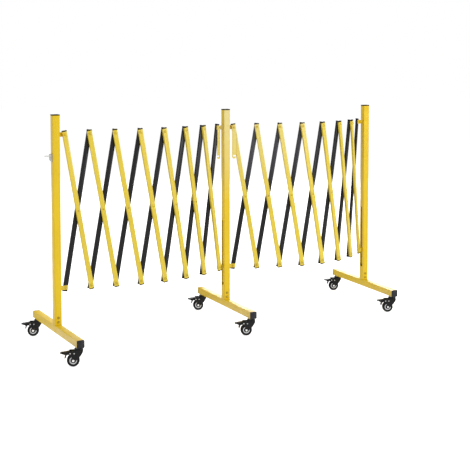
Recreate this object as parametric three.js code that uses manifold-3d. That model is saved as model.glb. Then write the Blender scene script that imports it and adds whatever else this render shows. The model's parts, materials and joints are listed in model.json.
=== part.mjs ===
// Expandable safety barrier: three posts on wheeled T-bases, joined by two
// lazy-tongs lattices of crossed bars. Millimetres, +Z up, front towards -Y.
// Each moving piece is placed in a group whose origin is its own pivot.
import * as THREE from "three";
import { mergeVertices } from "three/addons/utils/BufferGeometryUtils.js";
import Module from "manifold-3d";

// Lattice as it stands: the heading in plan of each unit, in degrees, from left
// to right, and the spacing of the pivot columns at rest.
const LEFT_HEADINGS = [2, -5, -6, 0, 10, 20, 26];
const RIGHT_HEADINGS = [-15, -15, -10, 0, 13, 26, 36];
const COLUMN_SPACING = 107.8;
const LEFT_POST_YAW = 2.4;
const RIGHT_POST_YAW = -1.6;

// Pivots' places on the posts: the top ones below the post's end, the bottom
// ones at rest above the base bar.
const PIVOT = { drop: 78, rise: 149 };

// Flat rectangular bar of the lattice, with its plugs.
const BAR = {
  endReach: 16,
  width: 20,
  depth: 10,
  wall: 1.2,
  corner: 1.6,
  layerGap: 3,
};
const PLUG_THICKNESS = 5;

// Rivets that pin the bars, and the play in the holes that lets the lattice bow.
const RIVET = {
  radius: 3,
  headRadius: 6.5,
  headHeight: 2.6,
  headCrownShare: 0.62,
  holeRadius: 5.4,
  tightHoleRadius: 3.6,
  headSeat: 0.3,
  headGap: 1.2,
};

// Square upright post.
const POST = {
  side: 30,
  wall: 1.5,
  corner: 2.5,
  height: 961,
  capThickness: 4,
  capLip: 0.6,
  capInsert: 12,
};
const SLOT = { width: 8, reachDown: 76, reachUp: 208, keyRadius: 8.5 };

// Square base bar, with the stub that the post slips over.
const BASE = {
  side: 30,
  wall: 1.5,
  corner: 2.5,
  length: 538,
  bottom: 75.5,
  plugThickness: 3,
  plugLip: 0.5,
  plugInsert: 14,
  stubWall: 1.5,
  stubCorner: 1.8,
  stubHeight: 62,
};
const FOOT_BOLT = {
  radius: 3,
  headRadius: 4.6,
  headHeight: 3,
  low: 13,
  high: 31,
  holeRadius: 3.4,
};

// Bent strap that carries the end pivots off the post.
const LUG = {
  pivotReach: 38,
  thickness: 3,
  height: 18,
  straight: 1.2,
  bend: 14.8,
  wideBend: 16.2,
  nearBend: 8,
  steepRoot: 7,
  slightRoot: 3,
  slotRoot: 2,
  endReach: 9,
  barGap: 0.6,
};
const SLIDER = { headRadius: 7.6, headThickness: 3, headGap: 1.2 };

// Latch strap that hangs beside the middle post, and the catches at the ends.
const LATCH = {
  width: 18,
  thickness: 2.5,
  drop: 141,
  headReach: 10,
  notchDrop: 128,
  notchHeight: 7,
  notchDepth: 11,
  standOff: 4.3,
  spacerRadius: 5.5,
  washer: 0.6,
};
const CATCH = {
  drop: 171,
  plateWidth: 16,
  plateHeight: 32,
  plateThickness: 2.5,
  earReach: 8,
  earHeight: 24,
  earThickness: 3,
  pinRadius: 2.5,
  pinLength: 30,
  pinRise: 8,
  pinCollarRadius: 4,
  pinCollarLength: 4,
};

// Braked swivel caster. The wheel trails behind the swivel along local +X.
const CASTER = {
  inset: 22,
  trail: 21.5,
  heading: 158,
};
const WHEEL = {
  radius: 25,
  width: 20,
  shoulder: 3,
  rimRadius: 15.5,
  dish: 1.6,
  bore: 3.4,
};
const FORK = {
  legThickness: 2,
  legGap: 1.5,
  cupRadius: 18,
  cupTop: 72,
  cupBottom: 60,
  cupBevel: 2,
  legRise: 4,
  legTopFront: -17,
  legShoulderHeight: 52,
  legTopRear: 38,
  legKneeX: 41,
  legKneeHeight: 46,
  axleBossRadius: 8.5,
  axleRadius: 3,
  axleHead: 2.4,
  axleHeadRadius: 5,
  stemHoleRadius: 5.7,
  stemHoleDepth: 9,
};
const STEM = { radius: 5.2, length: 8.4, raceRadius: 15, raceHeight: 2.8 };
const PEDAL = {
  width: 19,
  pivotX: 33,
  pivotZ: 54,
  pinRadius: 2.4,
  bossRadius: 5,
  sideGap: 0.5,
  shoulderX: 40,
  topZ: 65,
  tipX: 72,
  tipZ: 53,
  tipThickness: 2.8,
  crotchX: 50,
  crotchZ: 47.5,
  tailX: 57,
  tailZ: 33,
  tailThickness: 3.4,
  heelX: 47,
  heelZ: 49,
};

// Facet counts and the overrun of every cut.
const ROUND = {
  rivet: 8,
  hidden: 6,
  hole: 6,
  barCorner: 1,
  baseCorner: 1,
  tubeCorner: 2,
  wheel: 16,
  cup: 14,
  boss: 8,
  keyhole: 10,
  bend: 6,
};
const OVERRUN = 2;
const SEAT_GAP = 0.3;
const HALF_SHARE = 0.5;
const FOOT_SHANK_SHARE = 0.3;
const BOLT_SIDES = 6;

const wasm = await Module();
wasm.setup();

const UP = new THREE.Vector3(0, 0, 1);
const THROUGH = new THREE.Vector3(0, 1, 0);
const radians = THREE.MathUtils.degToRad;
const half = (value) => value * HALF_SHARE;

const UNITS = LEFT_HEADINGS.length;
const BASE_TOP = BASE.bottom + BASE.side;
const TOP_PIVOT_HEIGHT = POST.height - PIVOT.drop;
const BOTTOM_PIVOT_HEIGHT = BASE_TOP + PIVOT.rise;
const CENTRE_HEIGHT = half(TOP_PIVOT_HEIGHT + BOTTOM_PIVOT_HEIGHT);
const COLUMN_HEIGHT = TOP_PIVOT_HEIGHT - BOTTOM_PIVOT_HEIGHT;
const PIVOT_SPAN = Math.hypot(COLUMN_SPACING, COLUMN_HEIGHT);
const FOLD_ANGLE = Math.atan2(COLUMN_SPACING, COLUMN_HEIGHT);
const CASTER_PLACE = half(BASE.length) - CASTER.inset;
const BAR_BACK = half(BAR.layerGap);
const BAR_FACE = BAR_BACK + BAR.depth;
const RIVET_SEAT = BAR_FACE + RIVET.headGap;

function paint(color, roughness, metalness) {
  return new THREE.MeshStandardMaterial({ color, roughness, metalness });
}

const MATERIAL = {
  yellow: paint(0xf0b90c, 0.42, 0.1),
  black: paint(0x1c1d1e, 0.45, 0.1),
  steel: paint(0x9a9ca0, 0.35, 0.9),
  rubber: paint(0x141414, 0.8, 0),
};

// Solids: three.js geometry in, one closed three.js geometry out.
function toSolid(geometry) {
  const bare = geometry.clone();
  bare.deleteAttribute("normal");
  bare.deleteAttribute("uv");
  const merged = mergeVertices(bare);
  return new wasm.Manifold(
    new wasm.Mesh({
      numProp: 3,
      vertProperties: merged.attributes.position.array,
      triVerts: new Uint32Array(merged.index.array),
    }),
  );
}

function toGeometry(solid) {
  const mesh = solid.getMesh();
  const geometry = new THREE.BufferGeometry();
  const points = new Float32Array(mesh.vertProperties);
  const corners = new Uint32Array(mesh.triVerts);
  geometry.setAttribute("position", new THREE.BufferAttribute(points, mesh.numProp));
  geometry.setIndex(new THREE.BufferAttribute(corners, 1));
  const flat = geometry.toNonIndexed();
  flat.computeVertexNormals();
  return flat;
}

const join = (solids) => solids.reduce((whole, piece) => whole.add(piece));
const cut = (solid, tools) => tools.reduce((whole, tool) => whole.subtract(tool), solid);

function block(sizeX, sizeY, sizeZ, x = 0, y = 0, z = 0) {
  return toSolid(new THREE.BoxGeometry(sizeX, sizeY, sizeZ).translate(x, y, z));
}

// Round bar along a direction, from one distance to another measured from a point.
function roundBar(radius, from, to, steps, direction = THROUGH, at = new THREE.Vector3()) {
  const turn = new THREE.Quaternion().setFromUnitVectors(THROUGH, direction.clone().normalize());
  const middle = at.clone().addScaledVector(direction.clone().normalize(), half(from + to));
  const geometry = new THREE.CylinderGeometry(radius, radius, Math.abs(to - from), steps);
  return toSolid(geometry.applyQuaternion(turn).translate(middle.x, middle.y, middle.z));
}

// Turned piece: the profile is a list of radius and distance pairs from axis to axis.
function turned(profile, steps, direction = THROUGH, at = new THREE.Vector3()) {
  const points = profile.map(([radius, along]) => new THREE.Vector2(radius, along));
  const turn = new THREE.Quaternion().setFromUnitVectors(THROUGH, direction.clone().normalize());
  const geometry = new THREE.LatheGeometry(points, steps).applyQuaternion(turn);
  return toSolid(geometry.translate(at.x, at.y, at.z));
}

function roundedRectangle(width, depth, corner) {
  const x = half(width);
  const y = half(depth);
  const shape = new THREE.Shape();
  shape.absarc(x - corner, y - corner, corner, 0, half(Math.PI));
  shape.absarc(corner - x, y - corner, corner, half(Math.PI), Math.PI);
  shape.absarc(corner - x, corner - y, corner, Math.PI, Math.PI + half(Math.PI));
  shape.absarc(x - corner, corner - y, corner, Math.PI + half(Math.PI), 2 * Math.PI);
  shape.closePath();
  return shape;
}

// Shape extruded along its own normal, from zero to the given depth.
function extruded(shape, depth, steps) {
  const options = { depth, bevelEnabled: false, curveSegments: steps };
  return new THREE.ExtrudeGeometry(shape, options);
}

function raised(shape, from, to, steps = ROUND.tubeCorner) {
  return toSolid(extruded(shape, to - from, steps).translate(0, 0, from));
}

// Rectangular tube standing on its end, open at both ends.
function tube(width, depth, wall, corner, from, to, steps) {
  const long = to - from + 2 * OVERRUN;
  const hollow = block(width - 2 * wall, depth - 2 * wall, long, 0, 0, half(from + to));
  return raised(roundedRectangle(width, depth, corner), from, to, steps).subtract(hollow);
}

// Plug for the upper end of a tube of the given width, depth, wall and corner:
// a cover with a lip, and the insert below it.
function plug(width, depth, wall, corner, end, thickness, lip, insert, steps) {
  const outline = roundedRectangle(width + 2 * lip, depth + 2 * lip, corner + lip);
  const cover = raised(outline, end, end + thickness, steps);
  const top = end + half(thickness);
  const bottom = end - insert;
  const stem = block(
    width - 2 * wall,
    depth - 2 * wall,
    top - bottom,
    0,
    0,
    half(top + bottom),
  );
  return cover.add(stem);
}

const flipped = (solid) => solid.rotate([180, 0, 0]);

// Outline in the XZ plane, extruded across Y between two distances.
function crosswise(shape, from, to, steps = ROUND.bend) {
  const geometry = extruded(shape, to - from, steps).rotateX(half(Math.PI));
  return toSolid(geometry.translate(0, to, 0));
}

// Domed rivet head that sits on a plane at a distance along the rivet's axis.
function rivetHead(at, direction, seat, steps = ROUND.rivet) {
  const profile = [
    [0, -RIVET.headSeat],
    [RIVET.headRadius, -RIVET.headSeat],
    [RIVET.headRadius * RIVET.headCrownShare, RIVET.headHeight],
    [0, RIVET.headHeight],
  ];
  const base = at.clone().addScaledVector(direction.clone().normalize(), seat);
  return turned(profile, steps, direction, base);
}

// Hollow bar closed by a flush plug at each end. The layer is -1 for the front, +1 for the rear.
function barBody(layer) {
  const end = half(PIVOT_SPAN) + BAR.endReach;
  const outline = roundedRectangle(BAR.width, BAR.depth, BAR.corner);
  const inner = 2 * (end - PLUG_THICKNESS);
  const hollow = block(BAR.width - 2 * BAR.wall, BAR.depth - 2 * BAR.wall, inner);
  const body = raised(outline, -end, end, ROUND.barCorner).subtract(hollow);
  return body.translate([0, layer * (BAR_BACK + half(BAR.depth)), 0]);
}

const barEnd = (side) => new THREE.Vector3(0, 0, side * half(PIVOT_SPAN));

// Front bar: loose holes at its ends, and the rivet that pins it to its partner at the middle.
function yellowBar() {
  const centre = new THREE.Vector3();
  const front = THROUGH.clone().negate();
  const holes = [-1, 1].map((side) =>
    roundBar(RIVET.holeRadius, 0, -(BAR_FACE + OVERRUN), ROUND.hole, THROUGH, barEnd(side)),
  );
  return join([
    cut(barBody(-1), holes),
    roundBar(RIVET.radius, -BAR_BACK - half(BAR.wall), RIVET_SEAT, ROUND.hidden),
    rivetHead(centre, front, BAR_FACE),
    rivetHead(centre, THROUGH, RIVET_SEAT, ROUND.hidden),
  ]);
}

// Rear bar: a hole at the middle, and at each end a rivet along the given hinge line,
// whose front head sits at the given distance before the middle plane.
function blackBar(ends) {
  const middleHole = roundBar(RIVET.tightHoleRadius, 0, BAR_FACE + OVERRUN, ROUND.hole);
  const root = BAR_BACK + half(BAR.wall);
  const pieces = [cut(barBody(1), [middleHole])];
  ends.forEach(({ side, direction, seat }) => {
    const at = barEnd(side);
    pieces.push(roundBar(RIVET.radius, -seat, root, ROUND.hidden, direction, at));
    pieces.push(rivetHead(at, direction.clone().negate(), seat));
    pieces.push(rivetHead(at, direction, BAR_FACE, ROUND.hidden));
  });
  return join(pieces);
}

// Strap along a plan path, standing on edge: thickness in plan, height upright.
function strap(path, thickness, height) {
  const sides = [1, -1].map((side) =>
    path.map((point, index) => {
      const before = path[Math.max(index - 1, 0)];
      const after = path[Math.min(index + 1, path.length - 1)];
      const into = point.clone().sub(before).normalize();
      const out = after.clone().sub(point).normalize();
      if (index === 0) into.copy(out);
      if (index === path.length - 1) out.copy(into);
      const mitre = into.clone().add(out).normalize();
      const across = new THREE.Vector2(-mitre.y, mitre.x);
      const reach = (side * half(thickness)) / mitre.dot(into);
      return point.clone().addScaledVector(across, reach);
    }),
  );
  const outline = new THREE.Shape([...sides[1], ...sides[0].reverse()]);
  return raised(outline, -half(height), half(height));
}

// The end lugs: each plate lies behind a front bar, before a rear bar, or ahead of a front bar.
const LUG_BACK = BAR_BACK - LUG.barGap;
const LUG_FACE = LUG.thickness - LUG_BACK;
const LUG_AHEAD = BAR_FACE + LUG.barGap;
const LUG_SEAT = LUG_FACE + RIVET.headGap;

// The left latch strap hangs right before its lug, the right one before the front bar.
const LATCH_BACK = { left: LUG_FACE + LATCH.washer, right: BAR_FACE + LATCH.standOff };
const latchSeat = (side) => LATCH_BACK[side] + LATCH.thickness + LATCH.washer;

const PLATE_LINE = {
  behind: half(LUG.thickness) - LUG_BACK,
  before: LUG_BACK - half(LUG.thickness),
  ahead: -LUG_AHEAD - half(LUG.thickness),
};

// Plan path of a lug, in the frame of its post: out of the side face, then along the unit's heading.
function lugPath({ side, yaw, plate, root, bend }, inner) {
  const along = new THREE.Vector2(Math.cos(yaw), Math.sin(yaw)).multiplyScalar(side);
  const back = new THREE.Vector2(-Math.sin(yaw), Math.cos(yaw));
  const pivot = new THREE.Vector2(side * LUG.pivotReach, 0);
  const middle = pivot.addScaledVector(back, PLATE_LINE[plate]);
  return [
    new THREE.Vector2(side * inner, root),
    new THREE.Vector2(side * (half(POST.side) + LUG.straight), root),
    middle.clone().addScaledVector(along, -bend),
    middle.clone().addScaledVector(along, LUG.endReach),
  ];
}

// Lug with a hole for a rear bar's rivet, or with the stud that passes through a front bar.
function lug(spec, inner) {
  const at = new THREE.Vector3(spec.side * LUG.pivotReach, 0, 0);
  const direction = rearward(spec.yaw);
  const front = direction.clone().negate();
  const body = strap(lugPath(spec, inner), LUG.thickness, LUG.height);
  if (spec.plate === "before") {
    const through = [-LUG.height, LUG.height];
    return cut(body, [
      roundBar(RIVET.tightHoleRadius, ...through, ROUND.hole, direction, at),
    ]);
  }
  if (spec.plate === "ahead") {
    const root = -LUG_AHEAD - half(LUG.thickness);
    const seat = RIVET.headGap - BAR_BACK;
    return join([
      body,
      roundBar(RIVET.radius, root, seat, ROUND.hidden, direction, at),
      rivetHead(at, front, LUG_AHEAD + LUG.thickness),
      rivetHead(at, direction, seat, ROUND.hidden),
    ]);
  }
  const seat = spec.latch ? latchSeat(spec.latch) : RIVET_SEAT;
  const root = half(LUG.thickness) - LUG_BACK;
  const pieces = [
    body,
    roundBar(RIVET.radius, -seat, root, ROUND.hidden, direction, at),
    rivetHead(at, front, seat),
  ];
  if (spec.latch) {
    const collar = LATCH_BACK[spec.latch] - LATCH.washer;
    pieces.push(roundBar(LATCH.spacerRadius, RIVET_SEAT, collar, ROUND.rivet, front, at));
  }
  return join(pieces);
}

// Slot cut through a post's side face, with the round entry for the slider's head at its foot.
function slotTool(side) {
  const outer = side * (half(POST.side) + OVERRUN);
  const inner = side * (half(POST.side) - POST.wall - OVERRUN);
  const across = new THREE.Vector3(1, 0, 0);
  const foot = new THREE.Vector3(0, 0, BOTTOM_PIVOT_HEIGHT - SLOT.reachDown);
  const head = new THREE.Vector3(0, 0, BOTTOM_PIVOT_HEIGHT + SLOT.reachUp);
  const deep = Math.abs(outer - inner);
  const high = head.z - foot.z;
  return join([
    block(deep, SLOT.width, high, half(outer + inner), 0, half(foot.z + head.z)),
    roundBar(SLOT.keyRadius, inner, outer, ROUND.keyhole, across, foot),
    roundBar(half(SLOT.width), inner, outer, ROUND.hole, across, head),
  ]);
}

const boltRises = [FOOT_BOLT.low, FOOT_BOLT.high];
const boltPlaces = boltRises.map((rise) => new THREE.Vector3(0, 0, BASE_TOP + rise));

// Post: square tube with its cap, the fixed lugs and the foot bolts.
function postSolid(lugs, slots) {
  const { side, wall, corner, height } = POST;
  const body = tube(side, side, wall, corner, BASE_TOP + SEAT_GAP, height);
  const cap = plug(
    side,
    side,
    wall,
    corner,
    height,
    POST.capThickness,
    POST.capLip,
    POST.capInsert,
  );
  const fixed = lugs.map((spec) => {
    return lug(spec, half(side) - wall).translate([0, 0, TOP_PIVOT_HEIGHT]);
  });
  const face = -half(side);
  const shankEnd = face + side * FOOT_SHANK_SHARE;
  const shankRoot = face - half(FOOT_BOLT.headHeight);
  const headEnd = face - FOOT_BOLT.headHeight;
  const bolts = boltPlaces.flatMap((at) => [
    roundBar(FOOT_BOLT.radius, shankRoot, shankEnd, ROUND.hidden, THROUGH, at),
    roundBar(FOOT_BOLT.headRadius, headEnd, face, BOLT_SIDES, THROUGH, at),
  ]);
  return join([cut(body, slots.map(slotTool)), cap, ...fixed, ...bolts]);
}

// Base bar along Y: tube, end plugs, the stub for the post and the fixed half of each caster.
function baseSolid() {
  const { side, wall, corner } = BASE;
  const end = half(BASE.length) - BASE.plugThickness;
  const cap = plug(
    side,
    side,
    wall,
    corner,
    end,
    BASE.plugThickness,
    BASE.plugLip,
    BASE.plugInsert,
    ROUND.baseCorner,
  );
  const shell = tube(side, side, wall, corner, -end, end, ROUND.baseCorner);
  const upended = join([shell, cap, flipped(cap)]);
  const bar = upended.rotate([90, 0, 0]).translate([0, 0, BASE.bottom + half(side)]);
  const stubSide = POST.side - 2 * POST.wall - 2 * SEAT_GAP;
  const stubInner = stubSide - 2 * BASE.stubWall;
  const stubFoot = BASE_TOP - wall;
  const stubEnd = BASE_TOP + BASE.stubHeight;
  const stub = tube(
    stubSide,
    stubSide,
    BASE.stubWall,
    BASE.stubCorner,
    stubFoot,
    stubEnd,
    ROUND.baseCorner,
  );
  const opening = block(stubInner, stubInner, side, 0, 0, BASE_TOP);
  const boltHoles = boltPlaces.map((at) => {
    return roundBar(FOOT_BOLT.holeRadius, -side, 0, ROUND.hole, THROUGH, at);
  });
  const stems = [-1, 1].flatMap((end) => {
    const at = new THREE.Vector3(0, end * CASTER_PLACE, BASE.bottom);
    const foot = -STEM.raceHeight - STEM.length;
    return [
      roundBar(STEM.raceRadius, -STEM.raceHeight, wall, ROUND.boss, UP, at),
      roundBar(STEM.radius, foot, wall, ROUND.boss, UP, at),
    ];
  });
  return join([cut(join([bar, stub]), [opening, ...boltHoles]), ...stems]);
}

// Slider: the bottom end's strap, with a round head held inside the post.
function sliderSolid(spec) {
  const inner = half(POST.side) - POST.wall - SLIDER.headGap;
  const across = new THREE.Vector3(spec.side, 0, 0);
  const head = roundBar(SLIDER.headRadius, inner - SLIDER.headThickness, inner, ROUND.boss, across);
  const body = lug(spec, inner - half(SLIDER.headThickness));
  return join([body, head]).translate([-spec.side * LUG.pivotReach, 0, 0]);
}

// Latch strap, hanging from its pivot, with a hook notch let into one edge.
function latchSolid(back, openSide) {
  const edge = half(LATCH.width);
  const shape = new THREE.Shape();
  shape.moveTo(-edge, -LATCH.drop + edge);
  shape.absarc(0, -LATCH.drop + edge, edge, Math.PI, 2 * Math.PI);
  shape.lineTo(edge, LATCH.headReach - edge);
  shape.absarc(0, LATCH.headReach - edge, edge, 0, Math.PI);
  shape.closePath();
  const face = back + LATCH.thickness;
  const body = crosswise(shape, -face, -back);
  const through = [-face - OVERRUN, -back + OVERRUN];
  const hole = roundBar(RIVET.tightHoleRadius, ...through, ROUND.hole);
  const notchEnd = openSide * (edge - LATCH.notchDepth);
  const notchOuter = openSide * (edge + OVERRUN);
  const notch = block(
    Math.abs(notchOuter - notchEnd),
    LATCH.thickness + 2 * OVERRUN,
    LATCH.notchHeight,
    half(notchOuter + notchEnd),
    -half(face + back),
    -LATCH.notchDrop,
  );
  const notchAt = new THREE.Vector3(notchEnd, 0, -LATCH.notchDrop);
  const seat = roundBar(half(LATCH.notchHeight), ...through, ROUND.hole, THROUGH, notchAt);
  return cut(body, [hole, notch, seat]);
}

// Catch on a post's outer face: a plate with a standing ear, and on the left a link pin.
function catchSolid(side, withPin) {
  const face = half(POST.side) + SEAT_GAP;
  const earFoot = face + half(CATCH.plateThickness);
  const earEdge = earFoot + CATCH.earReach;
  const high = half(CATCH.plateHeight);
  const wide = half(CATCH.plateWidth);
  const plate = block(
    CATCH.plateThickness,
    CATCH.plateWidth,
    CATCH.plateHeight,
    side * earFoot,
  );
  const ear = new THREE.Shape();
  ear.moveTo(side * earFoot, -high);
  ear.lineTo(side * earEdge, high - CATCH.earHeight);
  ear.lineTo(side * earEdge, high);
  ear.lineTo(side * earFoot, high);
  ear.closePath();
  const wing = crosswise(ear, wide - CATCH.earThickness, wide);
  if (!withPin) return join([plate, wing]);
  const outward = new THREE.Vector3(side, 0, 0);
  const at = new THREE.Vector3(0, 0, CATCH.pinRise);
  const collarEnd = face + CATCH.plateThickness + CATCH.pinCollarLength;
  const pinEnd = face + CATCH.pinLength;
  return join([
    plate,
    wing,
    roundBar(CATCH.pinCollarRadius, face, collarEnd, ROUND.boss, outward, at),
    roundBar(CATCH.pinRadius, face, pinEnd, ROUND.boss, outward, at),
  ]);
}

// Wheel about the Y axis, centred on its axle.
function wheelSolid() {
  const side = half(WHEEL.width);
  const profile = [
    [WHEEL.bore, WHEEL.dish - side],
    [WHEEL.rimRadius, WHEEL.dish - side],
    [WHEEL.radius - WHEEL.shoulder, -side],
    [WHEEL.radius, WHEEL.shoulder - side],
    [WHEEL.radius, side - WHEEL.shoulder],
    [WHEEL.radius - WHEEL.shoulder, side],
    [WHEEL.rimRadius, side - WHEEL.dish],
    [WHEEL.bore, side - WHEEL.dish],
    [WHEEL.bore, WHEEL.dish - side],
  ];
  return turned(profile, ROUND.wheel);
}

// Fork, in the frame of its swivel axis at floor level: cup, crown and two legs to the axle.
function forkSolid() {
  const legInner = half(WHEEL.width) + FORK.legGap;
  const legOuter = legInner + FORK.legThickness;
  const cup = turned(
    [
      [0, FORK.cupBottom],
      [FORK.cupRadius, FORK.cupBottom],
      [FORK.cupRadius, FORK.cupTop - FORK.cupBevel],
      [FORK.cupRadius - FORK.cupBevel, FORK.cupTop],
      [0, FORK.cupTop],
    ],
    ROUND.cup,
    UP,
  );
  const top = FORK.cupBottom + FORK.legRise;
  const bossFront = CASTER.trail - FORK.axleBossRadius;
  const leg = new THREE.Shape();
  leg.moveTo(FORK.legTopFront, top);
  leg.lineTo(FORK.legTopFront, FORK.legShoulderHeight);
  leg.lineTo(bossFront, WHEEL.radius);
  leg.absarc(CASTER.trail, WHEEL.radius, FORK.axleBossRadius, Math.PI, 2 * Math.PI);
  leg.lineTo(FORK.legKneeX, FORK.legKneeHeight);
  leg.lineTo(FORK.legTopRear, top);
  leg.closePath();
  const axle = new THREE.Vector3(CASTER.trail, 0, WHEEL.radius);
  const headEnd = legOuter + FORK.axleHead;
  const legs = [-1, 1].flatMap((side) => {
    const near = Math.min(side * legInner, side * legOuter);
    const head = [side * legOuter, side * headEnd];
    return [
      crosswise(leg, near, near + FORK.legThickness, ROUND.bend),
      roundBar(FORK.axleHeadRadius, ...head, BOLT_SIDES, THROUGH, axle),
    ];
  });
  const axleBar = roundBar(FORK.axleRadius, -legOuter, legOuter, ROUND.hidden, THROUGH, axle);
  const pin = roundBar(PEDAL.pinRadius, -headEnd, headEnd, ROUND.hidden, THROUGH, pedalPivot());
  const stemHole = roundBar(
    FORK.stemHoleRadius,
    FORK.cupTop - FORK.stemHoleDepth,
    FORK.cupTop + OVERRUN,
    ROUND.boss,
    UP,
  );
  return cut(join([cup, ...legs, axleBar, pin]), [stemHole]);
}

// Two-toed brake pedal, in the same frame as the fork, on its own pin.
function pedalSolid() {
  const shape = new THREE.Shape();
  shape.moveTo(PEDAL.pivotX, PEDAL.pivotZ + PEDAL.bossRadius);
  shape.absarc(PEDAL.pivotX, PEDAL.pivotZ, PEDAL.bossRadius, half(Math.PI), Math.PI + half(Math.PI));
  shape.lineTo(PEDAL.heelX, PEDAL.heelZ - PEDAL.tailThickness);
  shape.lineTo(PEDAL.tailX, PEDAL.tailZ);
  shape.lineTo(PEDAL.tailX + PEDAL.tailThickness, PEDAL.tailZ + PEDAL.tailThickness);
  shape.lineTo(PEDAL.crotchX, PEDAL.crotchZ);
  shape.lineTo(PEDAL.tipX, PEDAL.tipZ - PEDAL.tipThickness);
  shape.lineTo(PEDAL.tipX, PEDAL.tipZ);
  shape.lineTo(PEDAL.shoulderX, PEDAL.topZ);
  shape.lineTo(PEDAL.shoulderX, PEDAL.pivotZ + PEDAL.bossRadius);
  shape.closePath();
  const body = crosswise(shape, -half(PEDAL.width), half(PEDAL.width), ROUND.bend);
  const boreRadius = PEDAL.pinRadius + PEDAL.sideGap;
  const across = [-PEDAL.width, PEDAL.width];
  const bore = roundBar(boreRadius, ...across, ROUND.hole, THROUGH, pedalPivot());
  return cut(body, [bore]);
}

function pedalPivot() {
  return new THREE.Vector3(PEDAL.pivotX, 0, PEDAL.pivotZ);
}

// Scene graph.
const barrier = new THREE.Group();
const assembly = new THREE.Group();
barrier.add(assembly);

function place(parent, name, solid, material, position = new THREE.Vector3()) {
  const mesh = new THREE.Mesh(toGeometry(solid), material);
  mesh.name = name;
  mesh.position.copy(position);
  parent.add(mesh);
  return mesh;
}

function standing(parent, x, y, yaw) {
  const group = new THREE.Group();
  group.position.set(x, y, 0);
  group.rotation.z = yaw;
  parent.add(group);
  return group;
}

const inPlan = (angle) => new THREE.Vector2(Math.cos(angle), Math.sin(angle));
const rearward = (yaw) => new THREE.Vector3(-Math.sin(yaw), Math.cos(yaw), 0);

// Plan positions of the pivot columns, walking away from the middle post unit by unit.
function walk(start, headings, step) {
  const columns = [start];
  headings.forEach((heading) => {
    const from = columns[columns.length - 1];
    columns.push(from.clone().addScaledVector(inPlan(heading), step));
  });
  return columns;
}

const leftHeadings = LEFT_HEADINGS.map(radians);
const rightHeadings = RIGHT_HEADINGS.map(radians);
const leftStart = new THREE.Vector2(-LUG.pivotReach, 0);
const rightStart = new THREE.Vector2(LUG.pivotReach, 0);
const leftColumns = walk(leftStart, leftHeadings.slice().reverse(), -COLUMN_SPACING).reverse();
const rightColumns = walk(rightStart, rightHeadings, COLUMN_SPACING);

// Half the turn between a unit and one beside it: the rivet between them points midway.
function halfTurn(headings, unit, beside) {
  const inside = beside >= 0 && beside < headings.length;
  return inside ? half(headings[beside] - headings[unit]) : 0;
}

// Section of crossed bars. The last rear bar's top rivet also carries the left latch strap.
function lattice(section, columns, headings, lastSeat) {
  const tilt = new THREE.Quaternion().setFromAxisAngle(THROUGH, -FOLD_ANGLE);
  const centre = new THREE.Vector3(0, 0, CENTRE_HEIGHT);
  headings.forEach((heading, index) => {
    const middle = columns[index].clone().add(columns[index + 1]).multiplyScalar(HALF_SHARE);
    const unit = standing(assembly, middle.x, middle.y, heading);
    const number = index + 1;
    const onward = rearward(halfTurn(headings, index, index + 1));
    const backward = rearward(halfTurn(headings, index, index - 1));
    const ends = [
      {
        side: 1,
        direction: onward.applyQuaternion(tilt),
        seat: number === UNITS ? lastSeat : RIVET_SEAT,
      },
      {
        side: -1,
        direction: backward.applyQuaternion(tilt),
        seat: index === 0 ? LUG_SEAT : RIVET_SEAT,
      },
    ];
    const yellowName = `${section}_bar_yellow_${number}`;
    const yellow = place(unit, yellowName, yellowBar(), MATERIAL.yellow, centre);
    yellow.rotation.y = -FOLD_ANGLE;
    const blackName = `${section}_bar_black_${number}`;
    const black = place(unit, blackName, blackBar(ends), MATERIAL.black, centre);
    black.rotation.y = FOLD_ANGLE;
  });
}

function caster(parent, label, side) {
  const group = standing(parent, 0, side * CASTER_PLACE, radians(CASTER.heading));
  const axle = new THREE.Vector3(CASTER.trail, 0, WHEEL.radius);
  place(group, `caster_fork_${label}`, forkSolid(), MATERIAL.black);
  place(group, `caster_wheel_${label}`, wheelSolid(), MATERIAL.rubber, axle);
  place(group, `brake_pedal_${label}`, pedalSolid(), MATERIAL.black);
}

function upright(label, at, yaw, lugs, slots) {
  const group = standing(assembly, at.x, at.y, yaw);
  place(group, `post_${label}`, postSolid(lugs, slots), MATERIAL.yellow);
  place(group, `base_${label}`, baseSolid(), MATERIAL.yellow);
  caster(group, `${label}_front`, -1);
  caster(group, `${label}_rear`, 1);
  return group;
}

const leftYaw = radians(LEFT_POST_YAW);
const rightYaw = radians(RIGHT_POST_YAW);
const leftEnd = leftColumns[0].clone().addScaledVector(inPlan(leftYaw), -LUG.pivotReach);
const rightEnd = rightColumns[UNITS].clone().addScaledVector(inPlan(rightYaw), LUG.pivotReach);
const yaws = {
  leftOuter: leftHeadings[0] - leftYaw,
  leftInner: leftHeadings[UNITS - 1],
  rightInner: rightHeadings[0],
  rightOuter: rightHeadings[UNITS - 1] - rightYaw,
};

// Each end unit's lug: the side of the post it leaves, its plate's layer and its root in the post.
function lugSpec(place, side, plate, root, bend, latch) {
  return { side, yaw: yaws[place], plate, root, bend, latch };
}

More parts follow.
